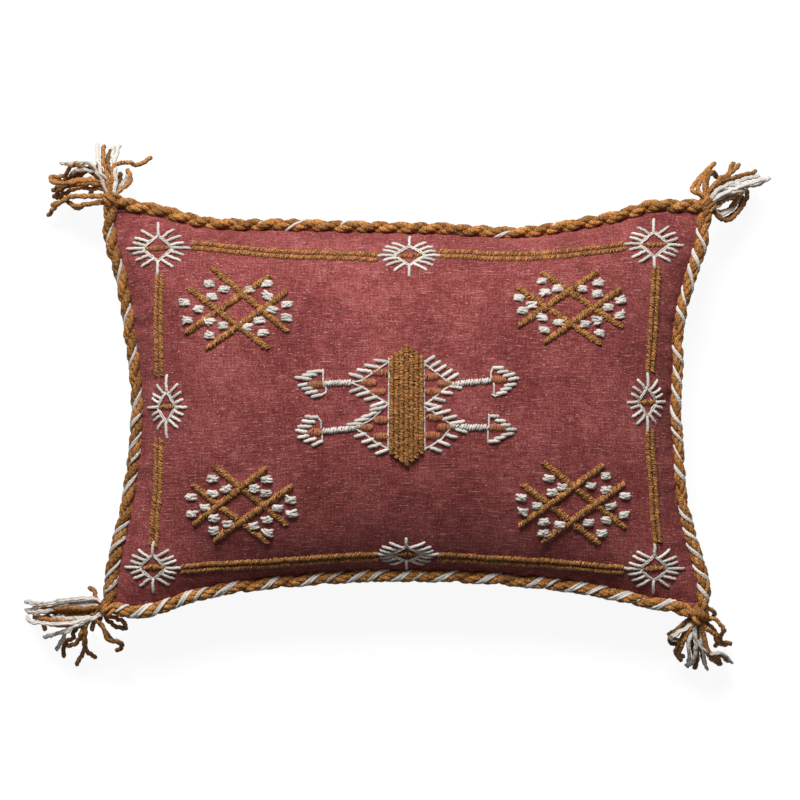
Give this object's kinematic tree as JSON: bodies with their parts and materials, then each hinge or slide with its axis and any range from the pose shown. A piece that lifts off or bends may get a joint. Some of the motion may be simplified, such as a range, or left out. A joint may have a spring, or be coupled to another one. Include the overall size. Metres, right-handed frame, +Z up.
{
  "type": "throw pillow",
  "caption": "Rectangular lumbar throw pillow: embroidered cotton cover with a zip, plaited edge cord, corner tassels and a soft insert.",
  "frame": {"origin": "middle of the flat patch of the back panel that the pillow rests on", "axes": "+X along the long side, +Y to the top edge of the embroidery, +Z up out of the embroidered front"},
  "size_m": [0.746, 0.5262, 0.1265],
  "materials": {
    "rose_cotton": "matt slub weave, washed",
    "zip_tape": "matt twill tape",
    "zip_brass": "satin",
    "plaited_cord": "soft plaited yarn with a thin white strand",
    "mustard_yarn": "soft chenille yarn",
    "white_yarn": "soft cotton yarn",
    "calico": "matt plain weave",
    "polyester_fill": "hollow-fibre wadding",
    "olive_mustard_yarn": "soft chenille yarn",
    "rust_yarn": "satin stitch"
  },
  "bodies": {
    "pillow": {"front_panel": "rose_cotton", "back_panel": "rose_cotton", "back_panel_lower": "rose_cotton", "zip_tape_upper": "zip_tape", "zip_tape_lower": "zip_tape", "zip_teeth_upper": "zip_brass", "zip_teeth_lower": "zip_brass", "zip_stops": "zip_brass", "edge_cord_top": "plaited_cord", "edge_cord_right": "plaited_cord", "edge_cord_bottom": "plaited_cord", "edge_cord_left": "plaited_cord", "insert_casing_front": "calico", "insert_casing_back": "calico", "insert_fill": "polyester_fill", "border_lines": "olive_mustard_yarn", "star_rays": "white_yarn", "star_bars": "olive_mustard_yarn", "lattice_bars": "olive_mustard_yarn", "lattice_knots": "white_yarn", "centre_bar": "olive_mustard_yarn", "zigzag_lines": "white_yarn", "branch_stitches": "white_yarn", "whipped_arms": "white_yarn", "crown_stitches": "white_yarn", "rust_stitches": "rust_yarn"},
    "slider": {"zip_slider": "zip_brass"},
    "pull_tab": {"zip_pull_tab": "zip_brass"},
    "tassel_top_left": {"knot_top_left": "mustard_yarn", "mustard_skein_top_left": "mustard_yarn", "white_skein_top_left": "white_yarn"},
    "tassel_top_right": {"knot_top_right": "mustard_yarn", "mustard_skein_top_right": "mustard_yarn", "white_skein_top_right": "white_yarn"},
    "tassel_bottom_left": {"knot_bottom_left": "mustard_yarn", "mustard_skein_bottom_left": "mustard_yarn", "white_skein_bottom_left": "white_yarn"},
    "tassel_bottom_right": {"knot_bottom_right": "mustard_yarn", "mustard_skein_bottom_right": "mustard_yarn", "white_skein_bottom_right": "white_yarn"}
  },
  "joints": [
    {"name": "zip_slide", "type": "slide", "parent": "pillow", "child": "slider", "axis": [-1, 0, 0], "range_m": [0, 0.33]},
    {"name": "pull_tab_swing", "type": "hinge", "parent": "slider", "child": "pull_tab", "pos_m": [0.162, -0.1471, 0.02337], "axis": [0, -0.8116, 0.5842], "range_deg": [-80, 80]},
    {"name": "tassel_top_left_swing", "type": "hinge", "parent": "pillow", "child": "tassel_top_left", "pos_m": [-0.299, 0.2005, 0.048], "axis": [0.7071, 0.7071, 0], "range_deg": [-30, 75]},
    {"name": "tassel_top_right_swing", "type": "hinge", "parent": "pillow", "child": "tassel_top_right", "pos_m": [0.299, 0.2005, 0.048], "axis": [0.7071, -0.7071, 0], "range_deg": [-30, 75]},
    {"name": "tassel_bottom_left_swing", "type": "hinge", "parent": "pillow", "child": "tassel_bottom_left", "pos_m": [-0.299, -0.2075, 0.048], "axis": [-0.7071, 0.7071, 0], "range_deg": [-30, 75]},
    {"name": "tassel_bottom_right_swing", "type": "hinge", "parent": "pillow", "child": "tassel_bottom_right", "pos_m": [0.299, -0.2075, 0.048], "axis": [-0.7071, -0.7071, 0], "range_deg": [-30, 75]}
  ]
}
